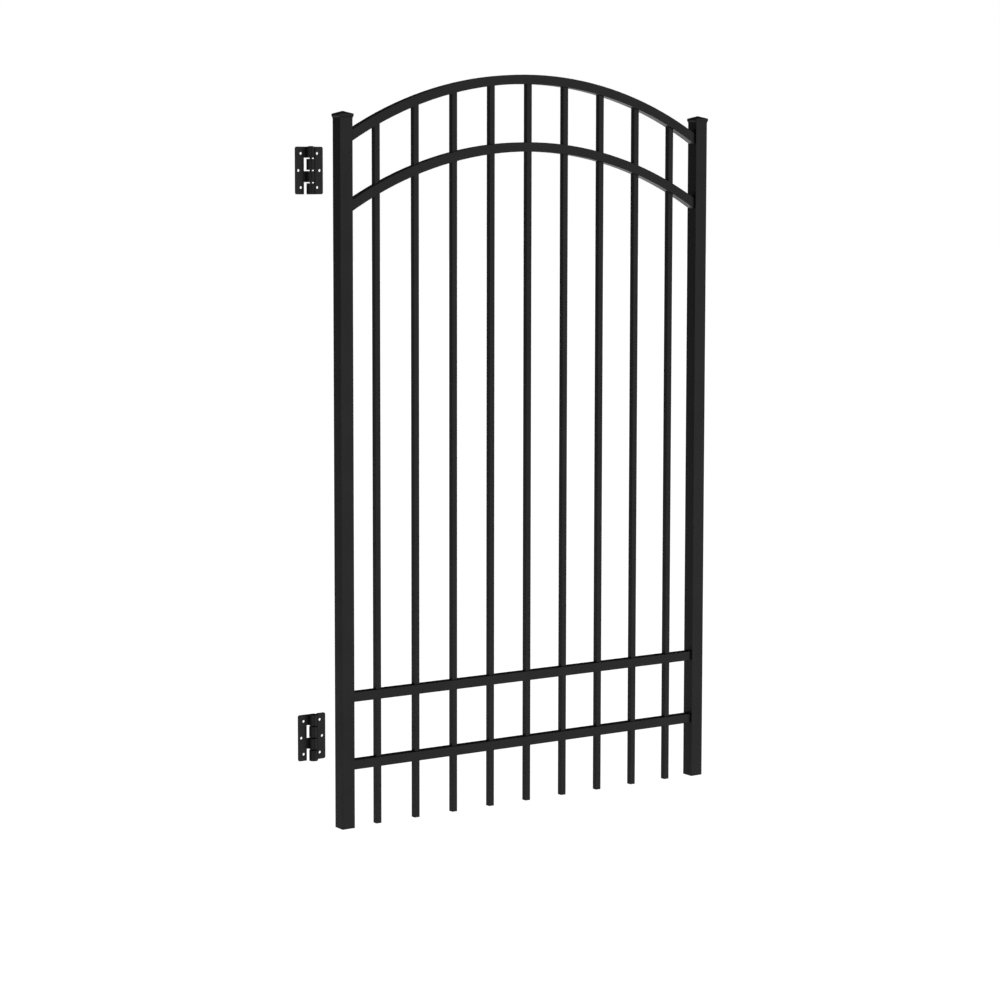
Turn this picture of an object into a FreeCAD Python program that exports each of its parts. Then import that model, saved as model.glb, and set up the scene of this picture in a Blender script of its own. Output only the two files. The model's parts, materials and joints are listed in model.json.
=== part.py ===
import FreeCAD, Part
import math
import os

# Arched garden gate with two butterfly hinges, shown laid out beside the hinge upright.
# All sizes in millimetres. X runs along the gate's width, Y towards its rear, +Z up.
# The pieces are drawn about the gate's own centre line and foot level, then every one is moved so that
# the row origin is the middle screw hole of the lower post leaf, on its back face.

# Overall sizes
gate_width = 1206.5
tube_top = 1874.0
arch_rise = 154.1
arch_drop = 31.1

# Uprights, with driven caps and foot plugs
upright_size = 38.1
upright_wall = 2.0
upright_corner = 0.6
cap_flare = 5.2
cap_brim = 6.0
cap_overhang = 2.3
cap_rise = 7.5
cap_edge = 1.0
cap_start = 0.5
cap_cove_reach = 0.25
cap_cove_height = 0.6
cap_shell = 2.0
plug_wall = 1.8
plug_depth = 22.0
foot_flange = 3.0
foot_chamfer = 0.4

# Rails
rail_size = 25.4
rail_wall = 1.6
rail_corner = 0.5
rail_tuck = 16.0
arch_spacing = 181.8
bottom_rail_height = 168.6
mid_rail_height = 350.5

# Pickets
picket_count = 9
picket_size = 15.875
picket_wall = 1.27
picket_corner = 0.4
end_gap = 73.6
picket_headroom = 1.0

# Screws with hexagon washer heads, all driven from the rear
screw_shank = 4.2
screw_length = 16.0
screw_point = 4.0
screw_tip = 0.6
screw_washer = 9.0
screw_washer_height = 0.9
screw_head_flats = 6.35
screw_head_height = 3.2
screw_head_bevel = 0.7
rail_screw_inset = 9.0

# Hinges
hinge_stand_off = 94.5
upper_hinge_drop = 135.8
lower_hinge_height = 261.6
leaf_thickness = 3.0
leaf_reach = 40.8
leaf_root = 15.4
leaf_height = 122.2
leaf_corner = 5.0
leaf_hole = 7.2
end_hole_reach = 24.3
end_hole_rise = 43.6
middle_hole_reach = 31.3
barrel_size = 23.0
barrel_bore = 16.0
barrel_chamfer = 0.5
web_touch = 140.0
pin_proud = 8.6
pin_size = 4.76
pin_head = 13.0
pin_head_height = 1.4
pin_socket = 4.0
pin_socket_depth = 0.8
knuckle_gap = 2.8
post_knuckles = (0, 2)
gate_knuckles = (1, 3)
spring_knuckle = 1
bush_length = 7.0
spacer_size = 6.35
spring_wire = 1.8
spring_coil = 11.0
spring_pitch = 2.0
spring_tail_grip = 2.0

# Clearances
seat_gap = 0.3
punch_gap = 0.25
plug_gap = 0.3
press_gap = 0.01
running_gap = 0.05
thrust_gap = 0.15
drill_gap = 0.05
slot_gap = 0.15

# Worked out from the sizes above
upright_x = (gate_width - upright_size) / 2
inner_half = upright_x - upright_size / 2
arch_radius = (inner_half ** 2 + arch_rise ** 2) / (2 * arch_rise)
top_arch_centre = tube_top - arch_drop + arch_rise - arch_radius
lower_arch_centre = top_arch_centre - arch_spacing
rail_end = inner_half + rail_tuck
picket_pitch = (2 * inner_half - 2 * end_gap - picket_size) / (picket_count - 1)
picket_xs = [(i - (picket_count - 1) / 2) * picket_pitch for i in range(picket_count)]
pin_x = -gate_width / 2 - hinge_stand_off
leaf_back = -upright_size / 2 - seat_gap
pin_y = leaf_back - leaf_thickness - pin_proud
upper_hinge_height = tube_top - upper_hinge_drop
knuckle_count = len(post_knuckles + gate_knuckles)
knuckle_length = (leaf_height - (knuckle_count - 1) * knuckle_gap) / knuckle_count
spring_room = knuckle_length - 2 * bush_length - 2 * spring_wire
spring_turns = math.floor(spring_room / spring_pitch)
origin = FreeCAD.Vector(pin_x - middle_hole_reach, leaf_back, lower_hinge_height)
up = FreeCAD.Vector(0, 0, 1)
rearward = FreeCAD.Vector(0, 1, 0)


def save(name, shape):
    """Moves a piece to the row origin and writes it."""
    placed = shape.copy()
    placed.translate(-origin)
    placed.exportStep("parts/" + name + ".step")
    print(name, "solids", len(placed.Solids), "valid", placed.isValid())


def box(x0, x1, y0, y1, z0, z1):
    return Part.makeBox(x1 - x0, y1 - y0, z1 - z0, FreeCAD.Vector(x0, y0, z0))


def rod(diameter, x, y, z, length, direction=up):
    return Part.makeCylinder(diameter / 2, length, FreeCAD.Vector(x, y, z), direction)


def rounded_square(size, corner):
    """A closed square outline with rounded corners, about the origin of the XY plane."""
    half = size / 2
    side = half - corner
    shift = corner * math.sqrt(0.5)
    edges = []
    for quarter in range(4):
        turn = FreeCAD.Rotation(up, 90 * quarter)
        start = turn.multVec(FreeCAD.Vector(half, -side, 0))
        end = turn.multVec(FreeCAD.Vector(half, side, 0))
        middle = turn.multVec(FreeCAD.Vector(side + shift, side + shift, 0))
        after = turn.multVec(FreeCAD.Vector(side, half, 0))
        edges.append(Part.LineSegment(start, end).toShape())
        edges.append(Part.Arc(end, middle, after).toShape())
    return Part.Wire(edges)


def tube_section(size, wall, corner):
    """A square tube's cross-section, as a face in the XY plane."""
    outer = rounded_square(size, corner)
    inner = rounded_square(size - 2 * wall, corner / 2)
    return Part.makeFace([outer, inner], "Part::FaceMakerBullseye")


def upright_tube(x, base, top):
    tube = tube_section(upright_size, upright_wall, upright_corner).extrude(up * (top - base))
    tube.translate(FreeCAD.Vector(x, 0, base))
    return tube


def straight_rail(height):
    section = tube_section(rail_size, rail_wall, rail_corner)
    section.rotate(FreeCAD.Vector(), rearward, 90)
    section.translate(FreeCAD.Vector(-rail_end, 0, height))
    return section.extrude(FreeCAD.Vector(2 * rail_end, 0, 0))


def arched_rail(centre):
    """A square tube bent to the arch radius, with its ends cut square."""
    section = tube_section(rail_size, rail_wall, rail_corner)
    section.rotate(FreeCAD.Vector(), rearward, 90)
    section.translate(FreeCAD.Vector(0, 0, centre + arch_radius - rail_size / 2))
    spread = math.degrees(math.asin(rail_end / (arch_radius - rail_size / 2)))
    hub = FreeCAD.Vector(0, 0, centre)
    section.rotate(hub, rearward, -spread)
    return section.revolve(hub, rearward, 2 * spread)


def rail_envelope(gap, centre=None, height=None):
    """The solid outline of a rail with a gap all round, long enough to punch the uprights' inner walls."""
    half = rail_size / 2 + gap
    far = inner_half + 2 * upright_wall
    if centre is None:
        return box(-far, far, -half, half, height - half, height + half)
    start = FreeCAD.Vector(0, -half, centre)
    outer = Part.makeCylinder(arch_radius + gap, 2 * half, start, rearward)
    inner = Part.makeCylinder(arch_radius - rail_size - gap, 2 * half, start, rearward)
    keep = box(-far, far, -half, half, centre, centre + arch_radius + 2 * gap)
    return outer.cut(inner).common(keep)


def arc_height(centre, depth, x):
    """Height of the arc that lies depth below the arch's top edge, at x."""
    return centre + math.sqrt((arch_radius - depth) ** 2 - x ** 2)


def rail_heights(x):
    """Centre height of each rail at x."""
    return {
        "top_arch": arc_height(top_arch_centre, rail_size / 2, x),
        "lower_arch": arc_height(lower_arch_centre, rail_size / 2, x),
        "mid_rail": mid_rail_height,
        "bottom_rail": bottom_rail_height,
    }


def picket_top(x):
    outer_corner = abs(x) + picket_size / 2
    return arc_height(top_arch_centre, rail_wall, outer_corner) - picket_headroom


def screw_hole(x, height, face, depth):
    """A hole drilled forwards from the rear face at y = face."""
    return rod(screw_shank + 2 * drill_gap, x, face - depth, height, depth + 1, rearward)


def screw(x, height, face):
    """A washer-head screw driven forwards into the rear face at y = face."""
    half = screw_shank / 2
    tip = FreeCAD.Vector(x, face - screw_length, height)
    point = Part.makeCone(screw_tip / 2, half, screw_point, tip, rearward)
    shank_start = face - screw_length + screw_point
    shank = rod(screw_shank, x, shank_start, height, screw_length - screw_point, rearward)
    washer = rod(screw_washer, x, face, height, screw_washer_height, rearward)
    washer_top = face + screw_washer_height
    rim = [edge for edge in washer.Edges if abs(edge.BoundBox.YMin - washer_top) < 0.01]
    washer = washer.makeChamfer(screw_washer_height / 2, rim)
    corner = screw_head_flats / math.sqrt(3)
    points = []
    for side in range(7):
        angle = math.radians(60 * side)
        points.append(FreeCAD.Vector(x + corner * math.cos(angle), face, height + corner * math.sin(angle)))
    head = Part.Face(Part.makePolygon(points)).extrude(rearward * screw_head_height)
    seat = FreeCAD.Vector(x, face, height)
    base = corner + screw_washer_height
    dome = Part.makeCone(base, corner - screw_head_bevel, screw_head_height, seat, rearward)
    return point.fuse([shank, washer, head.common(dome)]).removeSplitter()


def picket_screws(rail):
    return Part.Compound([screw(x, rail_heights(x)[rail], rail_size / 2) for x in picket_xs])


def rail_end_screws(side):
    x = side * (inner_half + rail_screw_inset)
    return Part.Compound([screw(x, height, upright_size / 2) for height in rail_heights(x).values()])


def square_prism(size, x, z0, z1):
    half = size / 2
    return box(x - half, x + half, -half, half, z0, z1)


def punch_rail(rail, name):
    """Punches a rail for the pickets and drills it for its screws."""
    opening = picket_size + 2 * punch_gap
    cuts = []
    for x in picket_xs:
        height = rail_heights(x)[name]
        top = picket_top(x) if name == "top_arch" else height + rail_size
        cuts.append(square_prism(opening, x, height - rail_size, top))
        cuts.append(screw_hole(x, height, rail_size / 2, rail_wall * 2))
    for side in (-1, 1):
        x = side * (inner_half + rail_screw_inset)
        cuts.append(screw_hole(x, rail_heights(x)[name], rail_size / 2, rail_wall * 2))
    return rail.cut(cuts)


def picket(x):
    height = picket_top(x)
    tube = tube_section(picket_size, picket_wall, picket_corner).extrude(up * height)
    tube.translate(FreeCAD.Vector(x, 0, 0))
    holes = [screw_hole(x, z, picket_size / 2, picket_wall * 2) for z in rail_heights(x).values()]
    return tube.cut(holes)


def upright(side):
    tube = upright_tube(side * upright_x, foot_flange, tube_top)
    mortises = [
        rail_envelope(punch_gap, centre=top_arch_centre),
        rail_envelope(punch_gap, centre=lower_arch_centre),
        rail_envelope(punch_gap, height=mid_rail_height),
        rail_envelope(punch_gap, height=bottom_rail_height),
    ]
    x = side * (inner_half + rail_screw_inset)
    holes = [screw_hole(x, z, upright_size / 2, upright_wall * 2) for z in rail_heights(x).values()]
    return tube.cut(mortises + holes)


def cap_side_profile(inset):
    """Half the cap's side outline, from its seat up to its apex, drawn inwards by inset."""
    seat = upright_size / 2 + cap_start - inset
    brim = upright_size / 2 + cap_overhang - inset
    low = tube_top
    flared = low + cap_flare
    bend = FreeCAD.Vector(seat + (brim - seat) * cap_cove_reach, 0, low + cap_flare * cap_cove_height)
    lip = flared + cap_brim - inset
    return seat, brim, low, flared, bend, lip


def cap_prism(inset):
    """The cap's full side outline as a prism along Y, wide enough to cut the cap from."""
    seat, brim, low, flared, bend, lip = cap_side_profile(inset)
    apex = FreeCAD.Vector(0, 0, lip + cap_rise)
    foot = FreeCAD.Vector(seat, 0, low)
    right = [foot, bend, FreeCAD.Vector(brim, 0, flared), FreeCAD.Vector(brim, 0, lip)]
    left = [FreeCAD.Vector(-p.x, 0, p.z) for p in right]
    edges = [
        Part.Arc(right[0], right[1], right[2]).toShape(),
        Part.makeLine(right[2], right[3]),
        Part.makeLine(right[3], apex),
        Part.makeLine(apex, left[3]),
        Part.makeLine(left[3], left[2]),
        Part.Arc(left[2], left[1], left[0]).toShape(),
        Part.makeLine(left[0], right[0]),
    ]
    face = Part.Face(Part.Wire(edges))
    face.translate(FreeCAD.Vector(0, -upright_size, 0))
    return face.extrude(FreeCAD.Vector(0, 2 * upright_size, 0))


def cap_block(inset):
    prism = cap_prism(inset)
    crossing = prism.copy()
    crossing.rotate(FreeCAD.Vector(), up, 90)
    return prism.common(crossing)


def rounded_cap_block():
    """The cap's outer shape, with the edges of its brim rounded."""
    block = cap_block(0)
    seat, brim, low, flared, bend, lip = cap_side_profile(0)
    rim = [e for e in block.Edges if e.BoundBox.ZMin > flared - 0.01 and e.BoundBox.ZMax < lip + 0.01]
    return block.makeFillet(cap_edge, rim)


def drive_in_plug(top, depth):
    """The hollow square spigot of a cap or plug, reaching depth below top."""
    size = upright_size - 2 * upright_wall - 2 * plug_gap
    spigot = tube_section(size, plug_wall, upright_corner / 2).extrude(up * depth)
    spigot.translate(FreeCAD.Vector(0, 0, top - depth))
    return spigot


def cap(side):
    shell = rounded_cap_block().cut(cap_block(cap_shell))
    # a flat shoulder closes the shell over the tube's end, and the spigot hangs from it
    size = upright_size - 2 * upright_wall - 2 * plug_gap
    shoulder = Part.Face(rounded_square(upright_size + 2 * cap_start - cap_shell, upright_corner))
    shoulder = shoulder.extrude(up * cap_shell)
    shoulder.translate(FreeCAD.Vector(0, 0, tube_top))
    shoulder = shoulder.cut(square_prism(size - 2 * plug_wall, 0, tube_top - 1, tube_top + cap_shell + 1))
    spigot = drive_in_plug(tube_top + cap_shell / 2, plug_depth)
    whole = shell.fuse([shoulder, spigot]).removeSplitter()
    whole.translate(FreeCAD.Vector(side * upright_x, 0, 0))
    return whole


def foot_plug(side):
    flange = Part.Face(rounded_square(upright_size, upright_corner)).extrude(up * foot_flange)
    rim = [edge for edge in flange.Edges if edge.BoundBox.ZMax < 0.01]
    flange = flange.makeChamfer(foot_chamfer, rim)
    spigot = drive_in_plug(foot_flange + plug_depth, plug_depth + foot_flange / 2)
    whole = flange.fuse(spigot).removeSplitter()
    whole.translate(FreeCAD.Vector(side * upright_x, 0, 0))
    return whole


def knuckle_span(number):
    """Lowest and highest point of a knuckle about the hinge's middle; number 0 is the top one."""
    top = leaf_height / 2 - number * (knuckle_length + knuckle_gap)
    return top - knuckle_length, top


def knuckle(side, number):
    """A barrel with the web that joins it to its leaf, about the pin line."""
    low, top = knuckle_span(number)
    back = pin_proud + leaf_thickness
    radius = barrel_size / 2
    far_touch = math.pi / 2 - math.acos(radius / back)
    near_touch = math.radians(web_touch)
    points = [
        FreeCAD.Vector(side * leaf_root, back, low),
        FreeCAD.Vector(side * leaf_root, pin_proud, low),
        FreeCAD.Vector(-side * radius * math.cos(near_touch), radius * math.sin(near_touch), low),
        FreeCAD.Vector(0, 0, low),
        FreeCAD.Vector(-side * radius * math.cos(far_touch), radius * math.sin(far_touch), low),
        FreeCAD.Vector(0, back, low),
        FreeCAD.Vector(side * leaf_root, back, low),
    ]
    web = Part.Face(Part.makePolygon(points)).extrude(up * knuckle_length)
    barrel = rod(barrel_size, 0, 0, low, knuckle_length)
    rims = [e for e in barrel.Edges if e.Closed and e.Length > barrel_size]
    barrel = barrel.makeChamfer(barrel_chamfer, rims)
    bore = rod(barrel_bore, 0, 0, low - 1, knuckle_length + 2)
    return barrel.fuse(web).cut(bore).removeSplitter()


def leaf(side, numbers):
    """One hinge leaf about the pin line: side -1 goes on the post and side 1 on the gate."""
    back = pin_proud + leaf_thickness
    near, far = sorted((side * leaf_root, side * leaf_reach))
    plate = box(near, far, pin_proud, back, -leaf_height / 2, leaf_height / 2)
    outer = [e for e in plate.Edges if abs(e.CenterOfMass.x - side * leaf_reach) < 0.01]
    corners = [e for e in outer if abs(e.Length - leaf_thickness) < 0.01]
    plate = plate.makeFillet(leaf_corner, corners)
    whole = plate.fuse([knuckle(side, number) for number in numbers]).removeSplitter()
    spots = [
        (end_hole_reach, end_hole_rise),
        (middle_hole_reach, 0),
        (end_hole_reach, -end_hole_rise),
    ]
    holes = [rod(leaf_hole, side * x, pin_proud - 1, z, leaf_thickness + 2, rearward) for x, z in spots]
    return whole.cut(holes)


def bushes(numbers, gap):
    """Two nylon bushes pressed into each knuckle, one flush with either end."""
    made = []
    for number in numbers:
        low, top = knuckle_span(number)
        for base in (low, top - bush_length):
            ring = rod(barrel_bore - 2 * press_gap, 0, 0, base, bush_length)
            cuts = [rod(pin_size + 2 * gap, 0, 0, base - 1, bush_length + 2)]
            if number == spring_knuckle:
                cuts.append(spring_tail_socket())
            made.append(ring.cut(cuts))
    return made


def spring_base():
    low, top = knuckle_span(spring_knuckle)
    return low + bush_length + spring_wire


def spring_tail_socket():
    """The blind hole in the upper bush that the spring's upright tail stands in."""
    low, top = knuckle_span(spring_knuckle)
    depth = spring_tail_grip + slot_gap
    return rod(spring_wire + 2 * slot_gap, spring_coil / 2, 0, top - bush_length - 1, depth + 1)


def pin():
    """The rod through all four knuckles, with a socketed head that sets the closing spring."""
    top = leaf_height / 2
    shaft = rod(pin_size, 0, 0, -top + thrust_gap, leaf_height - thrust_gap)
    head = rod(pin_head, 0, 0, top, pin_head_height)
    rim = [e for e in head.Edges if e.Closed and e.BoundBox.ZMin > top + 0.1]
    head = head.makeFillet(pin_head_height / 2, rim)
    socket = square_prism(pin_socket, 0, top + pin_head_height - pin_socket_depth, top + pin_head_height + 1)
    slot_half = spring_wire / 2 + slot_gap
    middle = spring_base()
    slot = box(-pin_size, pin_size, -slot_half, slot_half, middle - slot_half, middle + slot_half)
    return shaft.fuse(head).cut([socket, slot]).removeSplitter()


def thrust_spacers():
    """A sleeve on the rod in each gap between knuckles."""
    made = []
    for number in range(knuckle_count - 1):
        low, top = knuckle_span(number)
        base = low - knuckle_gap + thrust_gap
        length = knuckle_gap - 2 * thrust_gap
        sleeve = rod(spacer_size, 0, 0, base, length)
        made.append(sleeve.cut(rod(pin_size + 2 * press_gap, 0, 0, base - 1, length + 2)))
    return made


def closing_spring():
    """A torsion spring round the rod: one tail crosses the rod's slot and the other stands upright."""
    base = spring_base()
    radius = spring_coil / 2
    path = Part.makeHelix(spring_pitch, spring_turns * spring_pitch, radius)
    section = Part.Wire(Part.makeCircle(spring_wire / 2, FreeCAD.Vector(radius, 0, 0), rearward))
    coil = Part.Wire(path.Edges).makePipeShell([section], True, True)
    coil.translate(up * base)
    cross_tail = rod(spring_wire, -pin_size / 2, 0, base, radius + pin_size / 2, FreeCAD.Vector(1, 0, 0))
    end = base + spring_turns * spring_pitch
    low, top = knuckle_span(spring_knuckle)
    stand_tail = rod(spring_wire, radius, 0, end, top - bush_length + spring_tail_grip - end)
    return coil.fuse([cross_tail, stand_tail])


def hinge(label, height):
    """The nodes of one hinge, moved to its place beside the upright."""
    nodes = {
        "post_leaf": leaf(-1, post_knuckles),
        "gate_leaf": leaf(1, gate_knuckles),
        "hinge_pin": pin(),
        "post_bushes": Part.Compound(bushes(post_knuckles, press_gap)),
        "gate_bushes": Part.Compound(bushes(gate_knuckles, running_gap)),
        "thrust_spacers": Part.Compound(thrust_spacers()),
        "closing_spring": closing_spring(),
    }
    for name, shape in nodes.items():
        shape.translate(FreeCAD.Vector(pin_x, pin_y, height))
        save(label + "_" + name, shape)


def main():
    os.makedirs("parts", exist_ok=True)
    rails = {
        "top_arch": arched_rail(top_arch_centre),
        "lower_arch": arched_rail(lower_arch_centre),
        "mid_rail": straight_rail(mid_rail_height),
        "bottom_rail": straight_rail(bottom_rail_height),
    }
    for name, rail in rails.items():
        save(name, punch_rail(rail, name))
        save(name + "_screws", picket_screws(name))
    for label, side in (("hinge", -1), ("latch", 1)):
        save(label + "_upright", upright(side))
        save(label + "_upright_cap", cap(side))
        save(label + "_upright_foot_plug", foot_plug(side))
        save(label + "_upright_screws", rail_end_screws(side))
    for number, x in enumerate(picket_xs, 1):
        save("picket_" + str(number), picket(x))
    hinge("upper", upper_hinge_height)
    hinge("lower", lower_hinge_height)


main()
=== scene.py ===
import bpy
import json
import math
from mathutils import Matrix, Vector


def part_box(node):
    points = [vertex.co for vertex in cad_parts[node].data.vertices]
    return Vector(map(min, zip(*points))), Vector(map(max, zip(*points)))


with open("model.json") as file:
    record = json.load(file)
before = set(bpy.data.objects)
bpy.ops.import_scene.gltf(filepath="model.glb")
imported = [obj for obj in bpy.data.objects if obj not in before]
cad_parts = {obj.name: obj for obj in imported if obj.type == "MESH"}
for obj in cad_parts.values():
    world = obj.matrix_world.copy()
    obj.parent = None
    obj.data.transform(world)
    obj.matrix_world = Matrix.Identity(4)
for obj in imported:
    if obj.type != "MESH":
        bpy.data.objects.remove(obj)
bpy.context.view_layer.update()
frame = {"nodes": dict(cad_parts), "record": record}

nodes = frame["nodes"]
print("loaded the gate:", len(nodes), "pieces")

uprightBoxes = [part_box("hinge_upright"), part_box("latch_upright")]
uprightLow = Vector([min(box[0][axis] for box in uprightBoxes) for axis in range(3)])
uprightHigh = Vector([max(box[1][axis] for box in uprightBoxes) for axis in range(3)])
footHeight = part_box("hinge_upright_foot_plug")[0][2]
footCentre = (uprightLow + uprightHigh) / 2
footCentre.z = footHeight


# materials

def linear(hexColour):
    # the sRGB curve undone, with a full alpha at the end
    channels = [int(hexColour[i:i + 2], 16) / 255 for i in (1, 3, 5)]
    return [c / 12.92 if c <= 0.04045 else ((c + 0.055) / 1.055) ** 2.4 for c in channels] + [1]


def addNode(tree, kind, settings=None, links=None):
    # settings are attributes or input values, and links feed an input from (node, output name)
    node = tree.nodes.new(kind)
    for key, value in (settings or {}).items():
        if isinstance(key, str) and hasattr(node, key):
            setattr(node, key, value)
        else:
            node.inputs[key].default_value = value
    for key, (source, output) in (links or {}).items():
        tree.links.new(source.outputs[output], node.inputs[key])
    return node


def metres(millimetres):
    return millimetres / 1000


def perMetre(millimetres):
    # texture scale for features about this far apart, because object coordinates are metres
    return 1 / metres(millimetres)


def newMaterial(name):
    material = bpy.data.materials.new(name)
    material.use_nodes = True
    tree = material.node_tree
    tree.nodes.clear()
    return material, tree


# where the noise mostly runs from and to, and how many finer layers each noise has
noiseSet = {"low": 0.3, "high": 0.7, "cloud": 3.0, "peel": 1.5, "grain": 1.0, "rings": 2.0, "haze": 2.0}
# how far a rounded normal leans away from the true one, as their dot product, on a flat and on an edge
edgeSet = {"samples": 4, "flat": 0.995, "full": 0.80}


def surface(tree, look, cloud, gloss, relief):
    # cloud drifts the tone, gloss the roughness and relief the height, each as (node, output name)
    soft = addNode(tree, "ShaderNodeBevel", {"samples": edgeSet["samples"], "Radius": metres(look["edgeMm"])})
    true = addNode(tree, "ShaderNodeNewGeometry")
    lean = addNode(tree, "ShaderNodeVectorMath", {"operation": "DOT_PRODUCT"},
                   {0: (soft, "Normal"), 1: (true, "Normal")})
    edge = addNode(tree, "ShaderNodeMapRange",
                   {"From Min": edgeSet["flat"], "From Max": edgeSet["full"]}, {"Value": (lean, "Value")})

    # two tones drift into each other, and the edge tone shows in patches along the edges
    # a colour Mix takes its two colours at inputs 6 and 7 and gives its result at output 2
    tone = addNode(tree, "ShaderNodeMix",
                   {"data_type": "RGBA", 6: linear(look["deep"]), 7: linear(look["pale"])}, {0: cloud})
    rub = addNode(tree, "ShaderNodeMath", {"operation": "MULTIPLY"}, {0: (edge, "Result"), 1: cloud})
    colour = addNode(tree, "ShaderNodeMix", {"data_type": "RGBA", 7: linear(look["edge"])},
                     {0: (rub, "Value"), 6: (tone, 2)})

    glossiest, dullest = look["rough"] - look["roughDrift"], look["rough"] + look["roughDrift"]
    rough = addNode(tree, "ShaderNodeMapRange",
                    {"From Min": noiseSet["low"], "From Max": noiseSet["high"],
                     "To Min": glossiest, "To Max": dullest}, {"Value": gloss})
    bump = addNode(tree, "ShaderNodeBump", {"Strength": look["bump"], "Distance": metres(look["depthMm"])},
                   {"Height": relief, "Normal": (soft, "Normal")})
    shader = addNode(tree, "ShaderNodeBsdfPrincipled", look["shader"],
                     {"Base Color": (colour, 2), "Roughness": (rough, "Result"), "Normal": (bump, "Normal")})
    addNode(tree, "ShaderNodeOutputMaterial", None, {"Surface": (shader, "BSDF")})


def powderCoat(name, look):
    # sprayed and baked polyester powder: an even satin film with orange peel, drawn thin over the edges
    material, tree = newMaterial(name)
    place = (addNode(tree, "ShaderNodeTexCoord"), "Object")
    cloud = addNode(tree, "ShaderNodeTexNoise",
                    {"Scale": perMetre(look["cloudMm"]), "Detail": noiseSet["cloud"]}, {"Vector": place})
    peel = addNode(tree, "ShaderNodeTexNoise",
                   {"Scale": perMetre(look["peelMm"]), "Detail": noiseSet["peel"]}, {"Vector": place})
    grain = addNode(tree, "ShaderNodeTexNoise",
                    {"Scale": perMetre(look["grainMm"]), "Detail": noiseSet["grain"]}, {"Vector": place})
    skin = addNode(tree, "ShaderNodeMath", {"operation": "MULTIPLY_ADD", 1: look["grainShare"]},
                   {0: (grain, "Fac"), 2: (peel, "Fac")})
    surface(tree, look, (cloud, "Fac"), (cloud, "Fac"), (skin, "Value"))
    return material


def turnedMetal(name, look):
    # drawn, rolled or turned, then blackened or left bright: fine rings round the axis, edges rubbed pale
    material, tree = newMaterial(name)
    place = (addNode(tree, "ShaderNodeTexCoord"), "Object")
    cloud = addNode(tree, "ShaderNodeTexNoise",
                    {"Scale": perMetre(look["cloudMm"]), "Detail": noiseSet["cloud"]}, {"Vector": place})
    # the noise is squeezed along the axis, so that it reads as rings round it
    squeeze = [look["squeeze"] if axis == look["axis"] else 1.0 for axis in "XYZ"]
    along = addNode(tree, "ShaderNodeMapping", {"vector_type": "POINT", "Scale": squeeze},
                    {"Vector": place})
    rings = addNode(tree, "ShaderNodeTexNoise",
                    {"Scale": perMetre(look["ringMm"] * look["squeeze"]), "Detail": noiseSet["rings"]},
                    {"Vector": (along, "Vector")})
    surface(tree, look, (cloud, "Fac"), (rings, "Fac"), (rings, "Fac"))
    return material


def mouldedPlastic(name, look):
    # injection moulded against a spark-eroded tool: a fine even pebble, polished where an edge is handled
    material, tree = newMaterial(name)
    place = (addNode(tree, "ShaderNodeTexCoord"), "Object")
    cloud = addNode(tree, "ShaderNodeTexNoise",
                    {"Scale": perMetre(look["cloudMm"]), "Detail": noiseSet["haze"]}, {"Vector": place})
    pebble = addNode(tree, "ShaderNodeTexVoronoi",
                     {"feature": "SMOOTH_F1", "Scale": perMetre(look["pebbleMm"])}, {"Vector": place})
    surface(tree, look, (cloud, "Fac"), (cloud, "Fac"), (pebble, "Distance"))
    return material


# aluminium tube in baked satin powder: one even black that keeps a soft sheen on every flat
# the real peel is about 1 mm apart, drawn coarser here so that it shows
tubeCoat = {
    "deep": "#171717", "pale": "#1c1c1c", "edge": "#242424",
    "cloudMm": 90, "peelMm": 2.2, "grainMm": 0.45, "grainShare": 0.35,
    "edgeMm": 0.6, "depthMm": 0.03, "bump": 0.5, "rough": 0.46, "roughDrift": 0.03,
    "shader": {"IOR": 1.5, "Specular IOR Level": 0.5},
}
satinPowderCoat = powderCoat("satinPowderCoat", tubeCoat)

# die-cast aluminium under the same powder: softened corners, and a livelier peel over the cast skin
capCoat = dict(tubeCoat, deep="#151515", pale="#1b1b1b", cloudMm=25, peelMm=1.6, edgeMm=1.0,
               depthMm=0.05, rough=0.44)
coatedDieCasting = powderCoat("coatedDieCasting", capCoat)

# stamped and rolled steel, coated: a closer peel and a little more gloss, paler where the edges wear
hingeCoat = dict(tubeCoat, deep="#161616", pale="#1c1c1c", edge="#2a2a2a", cloudMm=30, peelMm=1.4,
                 edgeMm=0.5, depthMm=0.04, rough=0.42)
coatedHingeSteel = powderCoat("coatedHingeSteel", hingeCoat)

# zinc-plated and blackened screws: a dark metal with turned rings, bright where a driver has rubbed it
# real turning marks are about 0.1 mm apart, drawn coarser on this and the next two so that they show
screwFinish = {
    "deep": "#1d1d1f", "pale": "#2a2a2d", "edge": "#55555a",
    "cloudMm": 6, "axis": "Y", "squeeze": 12, "ringMm": 0.25,
    "edgeMm": 0.35, "depthMm": 0.02, "bump": 0.4, "rough": 0.38, "roughDrift": 0.06,
    "shader": {"Metallic": 1.0},
}
blackZincScrews = turnedMetal("blackZincScrews", screwFinish)

# turned steel pin in hot black oxide: blue-black and oily, with rings from the lathe
pinFinish = {
    "deep": "#26272a", "pale": "#33353a", "edge": "#6b6d72",
    "cloudMm": 9, "axis": "Z", "squeeze": 16, "ringMm": 0.2,
    "edgeMm": 0.4, "depthMm": 0.02, "bump": 0.45, "rough": 0.32, "roughDrift": 0.06,
    "shader": {"Metallic": 1.0},
}
blackOxideSteel = turnedMetal("blackOxideSteel", pinFinish)

# hard drawn spring wire, left bright: pale grey metal with fine draw marks
springFinish = {
    "deep": "#8f9094", "pale": "#b4b6ba", "edge": "#c9cacd",
    "cloudMm": 3, "axis": "Z", "squeeze": 10, "ringMm": 0.15,
    "edgeMm": 0.2, "depthMm": 0.01, "bump": 0.3, "rough": 0.28, "roughDrift": 0.05,
    "shader": {"Metallic": 1.0},
}
drawnSpringSteel = turnedMetal("drawnSpringSteel", springFinish)

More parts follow.
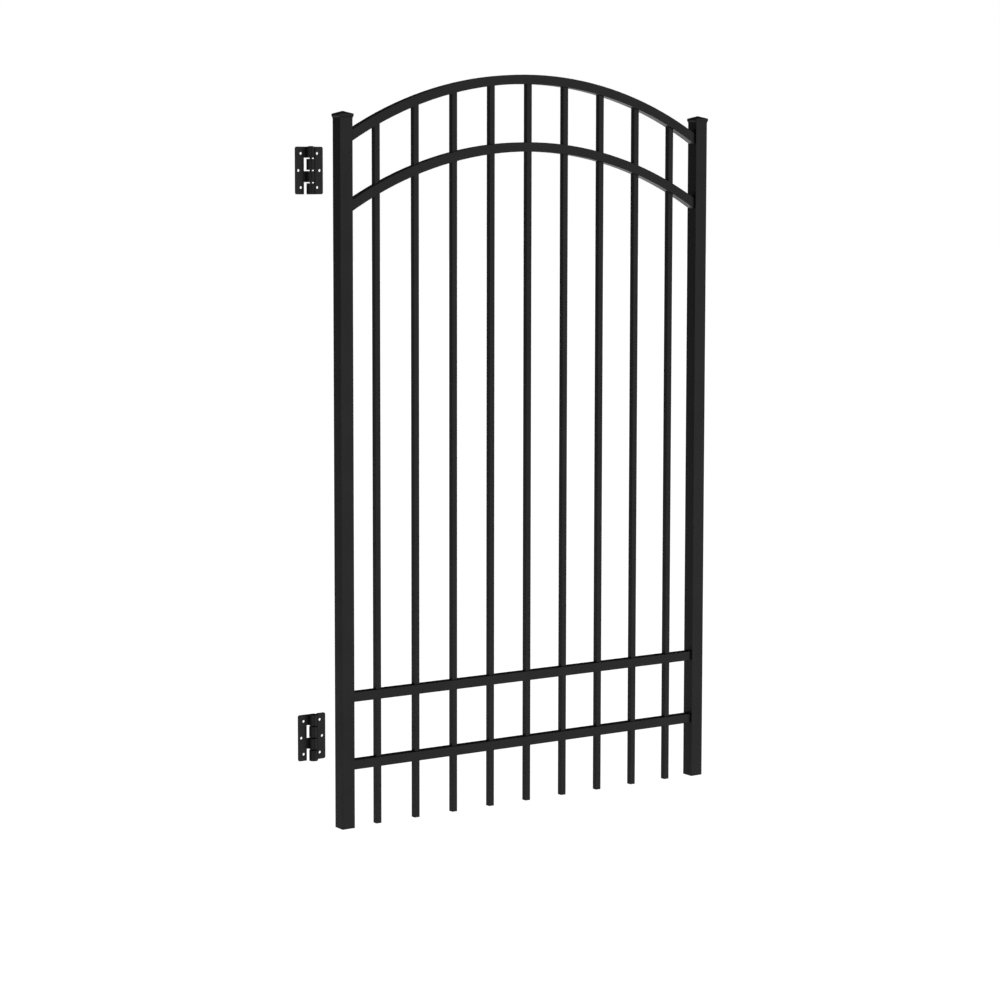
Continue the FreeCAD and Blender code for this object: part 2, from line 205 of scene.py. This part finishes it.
# moulded polythene plugs: waxy and dull, with a soft pebble
# the real pebble is about 0.2 mm across, drawn coarser on this and the next two so that it shows
plugFinish = {
    "deep": "#121212", "pale": "#191919", "edge": "#262626",
    "cloudMm": 12, "pebbleMm": 0.8, "edgeMm": 0.4, "depthMm": 0.04, "bump": 0.6,
    "rough": 0.55, "roughDrift": 0.05,
    "shader": {"IOR": 1.51, "Specular IOR Level": 0.45},
}
mouldedPolythene = mouldedPlastic("mouldedPolythene", plugFinish)

# moulded nylon with glass in it: harder and shinier than the plugs, with the fibres clouding its skin
bushFinish = dict(plugFinish, deep="#141414", pale="#1e1e1e", pebbleMm=0.5, depthMm=0.02, rough=0.42,
                  shader={"IOR": 1.53, "Specular IOR Level": 0.5})
glassFilledNylon = mouldedPlastic("glassFilledNylon", bushFinish)

# acetal washers: slick and smooth, so the skin is nearly flat
spacerFinish = dict(bushFinish, deep="#181818", pale="#222222", pebbleMm=0.35, bump=0.3, rough=0.33,
                    shader={"IOR": 1.48, "Specular IOR Level": 0.5})
slickAcetal = mouldedPlastic("slickAcetal", spacerFinish)

# the record's slots, and the finish that each one wears
finishOfSlot = {
    "powder_coat": satinPowderCoat, "cast_cap": coatedDieCasting, "hinge_coat": coatedHingeSteel,
    "coated_screw": blackZincScrews, "foot_plug": mouldedPolythene, "pin_steel": blackOxideSteel,
    "nylon": glassFilledNylon, "spacer_nylon": slickAcetal, "spring_steel": drawnSpringSteel,
}
slotOf = {part["node"]: part["material_slot"] for part in frame["record"]["subparts"]}
for name, piece in nodes.items():
    piece.data.materials.clear()
    piece.data.materials.append(finishOfSlot[slotOf[name]])
print("finished", len(nodes), "pieces in", len(finishOfSlot), "materials")


# stage: a plain white floor that glows evenly, so that it stays white right up to the feet

floorSet = {"reach": 40.0, "gap": 0.0005, "colour": "#f2f2f2", "rough": 0.9, "glow": 1.0}


def makeFloor():
    reach = floorSet["reach"]
    z = footHeight - floorSet["gap"]
    mesh = bpy.data.meshes.new("floor")
    sides = ((-1, -1), (1, -1), (1, 1), (-1, 1))
    corners = [(footCentre.x + reach * x, footCentre.y + reach * y, z) for x, y in sides]
    mesh.from_pydata(corners, [], [(0, 1, 2, 3)])
    floor = bpy.data.objects.new("floor", mesh)
    bpy.context.scene.collection.objects.link(floor)
    material, tree = newMaterial("litWhiteFloor")
    shader = addNode(tree, "ShaderNodeBsdfPrincipled",
                     {"Base Color": linear(floorSet["colour"]), "Roughness": floorSet["rough"],
                      "Specular IOR Level": 0.0,
                      "Emission Color": linear("#ffffff"), "Emission Strength": floorSet["glow"]})
    addNode(tree, "ShaderNodeOutputMaterial", None, {"Surface": (shader, "BSDF")})
    mesh.materials.append(material)
    # the low lights shine through it, and it throws nothing back on the gate
    floor.visible_glossy = False
    floor.visible_diffuse = False
    floor.visible_shadow = False


makeFloor()
print("floor is laid")

# soft lights stand all round, just below level, so that flats shine and tops stay dark
# turn 0 is straight in front of the gate and goes on towards its latch side
lightSet = {
    "skyBehind": 1.0, "skyLow": 0.012, "skyHigh": 0.10, "skyFrom": 0.3, "skyTo": 0.9, "sunsAway": 6.0,
    "suns": {
        "frontRight": {"turn": 33, "rise": -5, "spread": 60, "strength": 0.54},
        "frontLeft": {"turn": -42, "rise": -6, "spread": 60, "strength": 0.42},
        "left": {"turn": -96, "rise": -10, "spread": 50, "strength": 0.16},
        "backLeft": {"turn": -147, "rise": -18, "spread": 36, "strength": 0.11},
        "right": {"turn": 92, "rise": -30, "spread": 50, "strength": 0.30},
        "backRight": {"turn": 147, "rise": -34, "spread": 44, "strength": 0.50},
        "back": {"turn": 180, "rise": -34, "spread": 40, "strength": 0.28},
    },
}


def makeSky():
    # white to the camera; as a light it is dim near the horizon and brighter overhead
    world = bpy.data.worlds.new("whiteStudio")
    world.use_nodes = True
    tree = world.node_tree
    tree.nodes.clear()
    place = addNode(tree, "ShaderNodeTexCoord")
    parts = addNode(tree, "ShaderNodeSeparateXYZ", None, {"Vector": (place, "Generated")})
    height = addNode(tree, "ShaderNodeMath", {"operation": "ABSOLUTE"}, {0: (parts, "Z")})
    light = addNode(tree, "ShaderNodeMapRange",
                    {"From Min": lightSet["skyFrom"], "From Max": lightSet["skyTo"],
                     "To Min": lightSet["skyLow"], "To Max": lightSet["skyHigh"]},
                    {"Value": (height, "Value")})
    path = addNode(tree, "ShaderNodeLightPath")
    strength = addNode(tree, "ShaderNodeMapRange", {"To Max": lightSet["skyBehind"]},
                       {"Value": (path, "Is Camera Ray"), "To Min": (light, "Result")})
    sky = addNode(tree, "ShaderNodeBackground", {"Color": linear("#ffffff")},
                  {"Strength": (strength, "Result")})
    addNode(tree, "ShaderNodeOutputWorld", None, {"Surface": (sky, "Background")})
    bpy.context.scene.world = world


def makeSun(name, turn, rise, spread, strength):
    data = bpy.data.lights.new(name, "SUN")
    data.energy = strength
    data.angle = math.radians(spread)
    sun = bpy.data.objects.new(name, data)
    bpy.context.scene.collection.objects.link(sun)
    turn, rise = math.radians(turn), math.radians(rise)
    towards = Vector((math.sin(turn) * math.cos(rise), -math.cos(turn) * math.cos(rise), math.sin(rise)))
    sun.location = (uprightLow + uprightHigh) / 2 + lightSet["sunsAway"] * towards
    sun.rotation_euler = (-towards).to_track_quat("-Z", "Y").to_euler()
    sun.visible_camera = False


makeSky()
for name, sun in lightSet["suns"].items():
    makeSun(name, **sun)


# camera

cameraSet = {
    "lens": 96.58, "sensor": 36.0, "shift": (0.0451, -0.0839), "clip": (0.1, 200.0),
    "fromFeet": (-4.1662, -6.0218, 1.7280), "turnDegrees": 33.130, "downDegrees": 5.146,
}


def makeCamera():
    data = bpy.data.cameras.new("camera")
    data.sensor_width = cameraSet["sensor"]
    data.lens = cameraSet["lens"]
    data.shift_x, data.shift_y = cameraSet["shift"]
    data.clip_start, data.clip_end = cameraSet["clip"]
    camera = bpy.data.objects.new("camera", data)
    bpy.context.scene.collection.objects.link(camera)
    camera.location = footCentre + Vector(cameraSet["fromFeet"])
    camera.rotation_euler = (
        math.radians(90 - cameraSet["downDegrees"]), 0, -math.radians(cameraSet["turnDegrees"]))
    bpy.context.scene.camera = camera


makeCamera()
bpy.context.scene.view_settings.view_transform = "Standard"
print("lights and camera are set")
